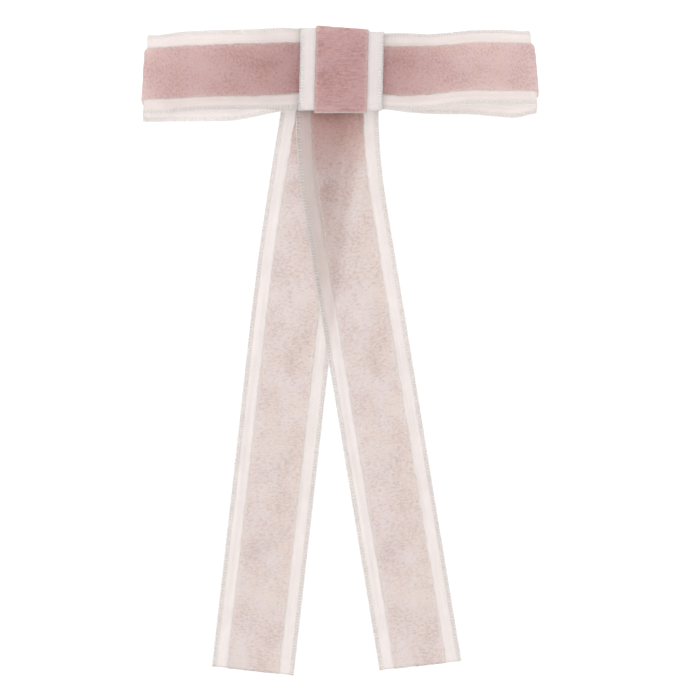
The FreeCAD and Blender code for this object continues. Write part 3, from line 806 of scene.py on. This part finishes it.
def velvet_material(look, nap, turn, parting=None, dense=None):
    """Velvet pile. nap is the size of its brushed streaks along and across, and turn is their angle.

    parting is a stretch along the ribbon, in millimetres, where the pile parts over a fold and shows its pale
    ground. dense is (distance, ((near, far), tint)): a painted shade that lets less light through near the
    knot. The tint fades from near to far, in millimetres of what the function distance works out. A ramp runs
    from 0 to 1, so millimetres are scaled down for it.
    """
    material, nodes, links, out = new_material(f"{look}_velvet")
    face_colour, glow_colour, share = PILE_LOOKS[look]
    flat = cloth_coordinates(nodes, links, (1, 1, 1))
    brushed = cloth_coordinates(nodes, links, (1 / nap[0], 1 / nap[1], 1), turn)
    grain = noise(nodes, links, flat, 1.25, 3.0, 0.75)
    tufts = noise(nodes, links, brushed, 1.0, 3.0, 0.6)
    cloud = noise(nodes, links, flat, 0.11, 2.0, 0.5)
    mix = maths(nodes, links, "MULTIPLY_ADD", grain, 0.32, maths(nodes, links, "MULTIPLY", tufts, 0.45))
    mix = maths(nodes, links, "MULTIPLY_ADD", cloud, 0.23, mix)
    paler = tuple(c * 0.82 + 0.18 for c in face_colour)
    redder = (glow_colour[0] * 0.9, glow_colour[1] * 0.83, glow_colour[2] * 0.83)
    face_colours = (scaled(face_colour, 0.74), face_colour, paler)
    glow_colours = (redder, glow_colour, scaled(glow_colour, 1.03))
    colour = ramp(nodes, links, mix, list(zip(NAP_STOPS, face_colours)))
    through = ramp(nodes, links, mix, list(zip(NAP_STOPS, glow_colours)))
    patches = noise(nodes, links, flat, 0.19, 2.0, 0.5)
    if look == "tail":
        patches = maths(nodes, links, "MULTIPLY_ADD", across_of(nodes, links, flat), TAN_LEAN, patches)
    warmth = ramp(nodes, links, patches, [(0.4, (1, 1, 1)), (0.64, (1, 0.982, 0.955))])
    colour = blended(nodes, links, "MULTIPLY", 1.0, colour, warmth)
    through = blended(nodes, links, "MULTIPLY", 1.0, through, warmth)
    edge = maths(nodes, links, "MULTIPLY_ADD", grain, 2.2, distance_from_middle(nodes, links, flat))
    edge = maths(nodes, links, "MULTIPLY", edge, 0.1)
    rim = ramp(nodes, links, edge, [(0.78, (0, 0, 0)), (0.93, (1, 1, 1))])
    rim = maths(nodes, links, "MULTIPLY", rim, RIM_SHARE[look])
    colour = blended(nodes, links, "MIX", rim, colour, PILE_RIM)
    through = blended(nodes, links, "MIX", rim, through, RIM_THROUGH)
    # Painted shade: the light let through darkens towards the knot.
    if dense:
        distance, ((near, far), tint) = dense
        away = maths(nodes, links, "MULTIPLY", distance(nodes, links, flat), 0.01)
        thick = ramp(nodes, links, away, [(near / 100, tint), (far / 100, (1, 1, 1))])
        through = blended(nodes, links, "MULTIPLY", 1.0, through, thick)
    if parting:
        colour = blended(nodes, links, "MIX", along_band(nodes, links, flat, parting), colour, PARTED)
    pile = nodes.new("ShaderNodeBsdfPrincipled")
    pile.inputs["Roughness"].default_value = 0.95
    pile.inputs["Specular IOR Level"].default_value = 0.05
    pile.inputs["Sheen Weight"].default_value = 0.12
    pile.inputs["Sheen Roughness"].default_value = 0.5
    pile.inputs["Sheen Tint"].default_value = (1.0, 0.9, 0.88, 1)
    normal = bump(nodes, links, maths(nodes, links, "ADD", grain, tufts), 0.6, 0.0003)
    links.new(normal, pile.inputs["Normal"])
    cloth_shader(nodes, links, out, pile, colour, through, share)
    return material


def ground_and_sheen_material():
    """The thin woven ground that the pile stands on, seen at its edges; on the tufts over its face, its pale
    colour is a painted sheen where the pile's tips catch the light.
    """
    material, nodes, links, out = new_material("velvet_ground_and_sheen")
    threads = noise(nodes, links, cloth_coordinates(nodes, links, (3, 3, 1)), 1.0, 2.0, 0.5)
    colour = ramp(nodes, links, threads, [(0.35, (0.86, 0.76, 0.74)), (0.65, (0.95, 0.86, 0.84))])
    through = ramp(nodes, links, threads, [(0.35, (0.94, 0.93, 0.92)), (0.65, (0.97, 0.97, 0.97))])
    face = nodes.new("ShaderNodeBsdfPrincipled")
    face.inputs["Roughness"].default_value = 0.8
    face.inputs["Specular IOR Level"].default_value = 0.1
    cloth_shader(nodes, links, out, face, colour, through, 0.94)
    return material


def satin_material(look):
    """Satin: fine floats along the ribbon over a diagonal twill, a soft gloss, and light let through.

    Its bare margins are a little greyer than under the velvet, and the woven strip at its edges is darker
    still, as painted shade between the selvedge's rungs.
    """
    material, nodes, links, out = new_material(f"{look}_satin")
    face_colour, glow_colour, share = SATIN_LOOKS[look]
    margin = MARGIN_TINT[look]
    flat = cloth_coordinates(nodes, links, (1, 1, 1))
    streak = noise(nodes, links, cloth_coordinates(nodes, links, (0.3, 3.0, 1)), 1.6, 3.0, 0.6)
    cloud = noise(nodes, links, flat, 0.16, 2.0, 0.5)
    twill = nodes.new("ShaderNodeTexWave")
    twill.bands_direction = "DIAGONAL"
    twill.inputs["Scale"].default_value = 0.42
    twill.inputs["Distortion"].default_value = 3.5
    twill.inputs["Detail"].default_value = 2.0
    links.new(cloth_coordinates(nodes, links, (1, 1.3, 0)), twill.inputs["Vector"])
    bands = noise(nodes, links, cloth_coordinates(nodes, links, (0.03, 1.0, 1)), 1.0, 3.0, 0.55)
    mix = maths(nodes, links, "MULTIPLY_ADD", streak, 0.3, maths(nodes, links, "MULTIPLY", cloud, 0.2))
    mix = maths(nodes, links, "MULTIPLY_ADD", bands, 0.45, mix)
    mix = maths(nodes, links, "MULTIPLY_ADD", twill.outputs["Fac"], 0.05, mix)
    face_stops = [(0.34, scaled(face_colour, 0.9)), (0.64, scaled(face_colour, 1.04))]
    glow_stops = [(0.36, scaled(glow_colour, 0.935)), (0.6, scaled(glow_colour, 1.035))]
    colour = ramp(nodes, links, mix, face_stops)
    through = ramp(nodes, links, mix, glow_stops)
    edge = maths(nodes, links, "MULTIPLY", distance_from_middle(nodes, links, flat), 0.05)
    # Painted shade: the woven strip between the rungs is a little darker.
    strip = scaled(margin, STRIP_SHADE)
    tint = ramp(nodes, links, edge, [(0.35, (1, 1, 1)), (0.42, margin), (0.555, margin), (0.565, strip)])
    colour = blended(nodes, links, "MULTIPLY", 1.0, colour, tint)
    through = blended(nodes, links, "MULTIPLY", 1.0, through, tint)
    face = nodes.new("ShaderNodeBsdfPrincipled")
    face.inputs["Roughness"].default_value = 0.34
    face.inputs["Specular IOR Level"].default_value = 0.7
    face.inputs["Anisotropic"].default_value = 0.5
    height = maths(nodes, links, "MULTIPLY_ADD", twill.outputs["Fac"], 0.3, streak)
    links.new(bump(nodes, links, height, 0.3, 0.00012), face.inputs["Normal"])
    cloth_shader(nodes, links, out, face, colour, through, share)
    return material


def selvedge_material():
    """The thicker, whiter threads of the ribbon's edge."""
    material, nodes, links, out = new_material("selvedge_thread")
    fuzz = noise(nodes, links, cloth_coordinates(nodes, links, (4, 1, 4)), 1.0, 2.0, 0.5)
    colour = ramp(nodes, links, fuzz, [(0.3, (0.93, 0.91, 0.90)), (0.7, (0.99, 0.98, 0.97))])
    through = ramp(nodes, links, fuzz, [(0.3, (0.97, 0.965, 0.955)), (0.7, (0.99, 0.99, 0.985))])
    face = nodes.new("ShaderNodeBsdfPrincipled")
    face.inputs["Roughness"].default_value = 0.5
    cloth_shader(nodes, links, out, face, colour, through, 0.84)
    return material


def steel_material(name, colour, grain, rough):
    """Nickel-plated steel with fine rolling marks along X."""
    material, nodes, links, out = new_material(name)
    spot = nodes.new("ShaderNodeTexCoord")
    mapping = nodes.new("ShaderNodeMapping")
    mapping.inputs["Scale"].default_value = (400, 6000, 6000)
    links.new(spot.outputs["Object"], mapping.inputs["Vector"])
    marks = noise(nodes, links, mapping.outputs["Vector"], grain, 4.0, 0.6)
    stain = noise(nodes, links, spot.outputs["Object"], 260.0, 3.0, 0.6)
    metal = nodes.new("ShaderNodeBsdfPrincipled")
    metal.inputs["Metallic"].default_value = 1.0
    tone = ramp(nodes, links, stain, [(0.3, scaled(colour, 0.86)), (0.7, scaled(colour, 1.08))])
    links.new(tone, metal.inputs["Base Color"])
    spread = maths(nodes, links, "MULTIPLY_ADD", marks, 0.22, rough - 0.11)
    links.new(spread, metal.inputs["Roughness"])
    links.new(bump(nodes, links, marks, 0.25, 0.00003), metal.inputs["Normal"])
    links.new(metal.outputs[0], out.inputs["Surface"])
    return material


def plain_material(name, colour, rough, grain, depth):
    """A soft or moulded material with a fine uneven surface."""
    material, nodes, links, out = new_material(name)
    spot = nodes.new("ShaderNodeTexCoord")
    value = noise(nodes, links, spot.outputs["Object"], grain, 3.0, 0.6)
    shader = nodes.new("ShaderNodeBsdfPrincipled")
    tone = ramp(nodes, links, value, [(0.35, scaled(colour, 0.88)), (0.65, scaled(colour, 1.06))])
    links.new(tone, shader.inputs["Base Color"])
    shader.inputs["Roughness"].default_value = rough
    links.new(bump(nodes, links, value, 0.4, depth), shader.inputs["Normal"])
    links.new(shader.outputs[0], out.inputs["Surface"])
    return material


# Pieces


def make_bow(selvedge, ground):
    """The ring of ribbon that makes both loops, and the wrap round its middle."""
    loop, knot = Loop(), Knot()
    half = loop.length / MM / 2

    def from_knot(nodes, links, flat):
        """Millimetres along the ribbon from the knot's middle, counted faster in the more open right loop."""
        along = along_of(nodes, links, flat)
        within = maths(nodes, links, "MODULO", along, half)
        from_end = maths(nodes, links, "ABSOLUTE", maths(nodes, links, "SUBTRACT", within, half / 2))
        away = maths(nodes, links, "SUBTRACT", half / 2, from_end)
        on_right = maths(nodes, links, "GREATER_THAN", along, half)
        pace = maths(nodes, links, "MULTIPLY_ADD", on_right, 0.7, 1.0)
        return maths(nodes, links, "MULTIPLY", away, pace)

    loop_pile = velvet_material("loop", (0.5, 0.9), NAP_TURN, dense=(from_knot, LOOP_PAINTED_SHADE))
    knot_pile = velvet_material("knot", (0.5, 2.6), 0.0, Knot.PARTING)
    loop_satin = [satin_material("loop"), selvedge]
    knot_satin = [satin_material("knot"), selvedge]
    for name, node, shape, satin, pile, seed, taper, held in (
        ("loop", "bow_loop", loop, loop_satin, [loop_pile, ground], 31, LOOSE_TAPER, "folded"),
        ("knot", "knot_wrap", knot, knot_satin, [knot_pile, ground], 41, TIGHT_TAPER, "stretched"),
    ):
        for slot, width, piece in (
            ("satin", 2 * SATIN_HALF, satin_piece(f"{name}_satin", shape, True, satin)),
            ("velvet", 2 * VELVET_HALF, velvet_piece(f"{name}_velvet", shape, True, pile, seed, taper)),
        ):
            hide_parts(f"{node}_{slot}")
            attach(piece, ROOT_BODY)


def make_tails(selvedge, ground):
    """Both tails, each one whole piece from its sewn-down top to its hanging end."""
    joint = next(j for j in frame["joints"] if j["name"] == "tails_swing")
    hinge = Vector(joint["pos_m"])
    pile = [velvet_material("tail", (0.45, 1.4), NAP_TURN, dense=(along_of, TAIL_PAINTED_SHADE)), ground]
    satin = [satin_material("tail"), selvedge]
    for seed, side in ((51, "left"), (61, "right")):
        tail = Tail(side)
        name = f"tail_{side}"
        for slot, width, piece in (
            ("satin", 2 * SATIN_HALF, satin_piece(f"{name}_satin_cloth", tail, False, satin)),
            (
                "velvet",
                2 * VELVET_HALF,
                velvet_piece(f"{name}_velvet_cloth", tail, False, pile, seed, LOOSE_TAPER),
            ),
        ):
            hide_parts(f"{name}_{slot}", f"{name}_{slot}_sewn")
            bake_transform(piece)


def finish_clip():
    """The clip's CAD parts keep their shapes and get their metals."""
    plate = steel_material("nickel_plate", (0.60, 0.585, 0.56), 1.0, 0.30)
    spring = steel_material("spring_steel", (0.47, 0.475, 0.485), 1.0, 0.26)
    pin = steel_material("pin_steel", (0.42, 0.415, 0.41), 1.0, 0.34)
    for material, names in (
        (plate, ("base_bar", "clasp_arm", "catch_foot", "release_tab_upper", "release_tab_lower")),
        (spring, ("tension_bar",)),
        (pin, ("hinge_pin", "catch_rivet")),
    ):
        for name in names:
            for slot in frame["nodes"][name].material_slots:
                slot.material = material


def straight(a, b, c):
    """Coordinates that already are (x, y, z)."""
    return np.stack([a, b, c], 1)


def make_glue():
    """The set glue between the flat tails and the curved bar: an uneven blob with a rounded rim."""
    low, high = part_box("glue_bed")
    half_x, half_z = (high.x - low.x) / 2, (high.z - low.z) / 2
    angle = np.arange(120) * math.pi / 60
    circle = (30 * MM * np.cos(angle), 30 * MM * np.sin(angle))
    wander = 0.93 + 0.06 * value_noise(*circle, 7 * MM, 71)
    rings = np.array([0.0, 0.3, 0.55, 0.75, 0.86, 0.92, 0.96, 0.99, 1.0])[:, None]
    x = rings * half_x * wander * np.sign(np.cos(angle)) * np.abs(np.cos(angle)) ** 0.5
    z = rings * half_z * wander * np.sign(np.sin(angle)) * np.abs(np.sin(angle)) ** 0.5
    rim = 0.15 + 0.85 * np.sqrt(1 - np.clip((rings - 0.84) / 0.16, 0, 1) ** 2)
    bottom = low.y + GLUE_GAP + 0 * x
    rise = np.sqrt(BAR_FRONT_RADIUS**2 - x**2) - math.sqrt(BAR_FRONT_RADIUS**2 - half_x**2)
    top = high.y - GLUE_GAP - rise
    ripple = 0.03 * MM * value_noise(x, z, 0.8 * MM, 72) * np.clip((rings - 0.7) / 0.2, 0, 1)
    middle, half = (top + bottom) / 2, (top - bottom) / 2
    count = x.size
    index = np.arange(count).reshape(x.shape)
    following = np.roll(index, -1, 1)
    faces = [np.stack([index[:-1], index[1:], following[1:], following[:-1]], 2).reshape(-1, 4)]
    faces.append(faces[0][:, ::-1] + count)
    faces.append(np.stack([index[-1], index[-1] + count, following[-1] + count, following[-1]], 1))
    blob = Cloth(straight)
    front = np.stack([x, middle - half * rim + np.abs(ripple), z], 2).reshape(-1, 3)
    back = np.stack([x, middle + half * rim - np.abs(ripple), z], 2).reshape(-1, 3)
    blob.add(np.vstack([front, back]), np.vstack(faces))
    glue = plain_material("set_glue", (0.80, 0.74, 0.62), 0.25, 900.0, 0.0002)
    piece = blob.build("glue_blob", [glue])
    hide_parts("glue_bed")
    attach(piece, ROOT_BODY)


def make_thread():
    """Turns of two-ply thread over the bar, each where the CAD model has one."""
    node = frame["nodes"]["sewing_thread"]
    spots = np.array([node.matrix_world @ corner.co for corner in node.data.vertices])
    thread = Cloth(straight)
    for side in (-1, 1):
        for turn in (-1, 0, 1):
            x = side * THREAD_X + turn * THREAD_PITCH
            near = spots[np.abs(spots[:, 0] - x) < 0.3 * MM]
            low, top = near[:, 1].min(), near[:, 1].max() - THREAD_RADIUS
            wide = near[:, 2].max() - THREAD_RADIUS
            bend = np.linspace(0, math.pi / 2, 8)
            corner_y = top - THREAD_CORNER * (1 - np.sin(bend))
            corner_z = -wide + THREAD_CORNER * (1 - np.cos(bend))
            y = np.concatenate([[low], corner_y, corner_y[::-1], [low]])
            z = np.concatenate([[-wide], corner_z, -corner_z[::-1], [wide]])
            run = np.concatenate([[0], np.cumsum(np.hypot(np.diff(y), np.diff(z)))])
            far = np.linspace(0, run[-1], int(run[-1] / (0.06 * MM)))
            y, z = np.interp(far, run, y), np.interp(far, run, z)
            slope = np.stack([0 * y, np.gradient(y, far), np.gradient(z, far)], 1)
            slope /= np.linalg.norm(slope, axis=1)[:, None]
            outward = np.stack([0 * y, slope[:, 2], -slope[:, 1]], 1)
            sideways = np.array([1.0, 0, 0]) + 0 * slope
            for ply in (0, math.pi):
                twist = far * 2 * math.pi / THREAD_TWIST + ply + turn
                line = np.stack([x + 0 * y, y, z], 1) + PLY_OFFSET * np.cos(twist)[:, None] * sideways
                line = line + PLY_OFFSET * np.sin(twist)[:, None] * outward
                radius = np.full((1, len(far)), PLY_RADIUS)
                thread.tubes(line[None], radius, (sideways[None, :, None], outward[None, :, None]), 0, 8)
    colour = plain_material("sewing_thread", (0.80, 0.60, 0.57), 0.8, 9000.0, 0.00005)
    piece = thread.build("sewing_turns", [colour])
    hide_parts("sewing_thread")
    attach(piece, ROOT_BODY)


def make_stage():
    """A plain pale floor below the tails, white light all round and a soft lamp in front."""
    floor = bpy.data.meshes.new("floor")
    gap = 14 * MM
    z = CAD_BOX[0].z - gap
    size = 3.0
    corners = [(-size, -size, z), (size, -size, z), (size, size, z), (-size, size, z)]
    floor.from_pydata(corners, [], [(0, 1, 2, 3)])
    piece = bpy.data.objects.new("floor", floor)
    bpy.context.scene.collection.objects.link(piece)
    material, nodes, links, out = new_material("floor")
    paint = nodes.new("ShaderNodeBsdfDiffuse")
    paint.inputs["Color"].default_value = (0.97, 0.97, 0.97, 1)
    links.new(paint.outputs[0], out.inputs["Surface"])
    floor.materials.append(material)
    world = bpy.data.worlds.new("studio")
    bpy.context.scene.world = world
    world.use_nodes = True
    light = world.node_tree.nodes["Background"]
    light.inputs["Color"].default_value = (1, 1, 1, 1)
    light.inputs["Strength"].default_value = 1.15
    lamp = bpy.data.lights.new("soft_lamp", "AREA")
    lamp.shape = "DISK"
    lamp.size = 0.5
    lamp.energy = 0.6
    holder = bpy.data.objects.new("soft_lamp", lamp)
    holder.location = (-0.35, -0.75, 0.35)
    aim = Vector((0, 0, -0.06))
    holder.rotation_euler = (aim - holder.location).to_track_quat("-Z", "Y").to_euler()
    bpy.context.scene.collection.objects.link(holder)
    bpy.context.scene.view_settings.view_transform = "Standard"


def make_camera():
    """Straight on from the front with a long lens, so that the whole bow and its tails fill the frame."""
    camera = bpy.data.cameras.new("camera")
    camera.lens = 200
    camera.sensor_width = 36
    frame_width = 0.21
    distance = frame_width * camera.lens / camera.sensor_width
    holder = bpy.data.objects.new("camera", camera)
    tails_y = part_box("tail_right_satin")[0].y
    centre_x, centre_z = BOW_X + 2.55 * MM, -84 * MM
    holder.location = (centre_x, tails_y - distance, centre_z)
    holder.rotation_euler = (math.radians(90), 0, 0)
    bpy.context.scene.collection.objects.link(holder)
    bpy.context.scene.camera = holder


SELVEDGE = selvedge_material()
GROUND_AND_SHEEN = ground_and_sheen_material()
make_bow(SELVEDGE, GROUND_AND_SHEEN)
make_tails(SELVEDGE, GROUND_AND_SHEEN)
finish_clip()
make_glue()
make_thread()
make_stage()
make_camera()
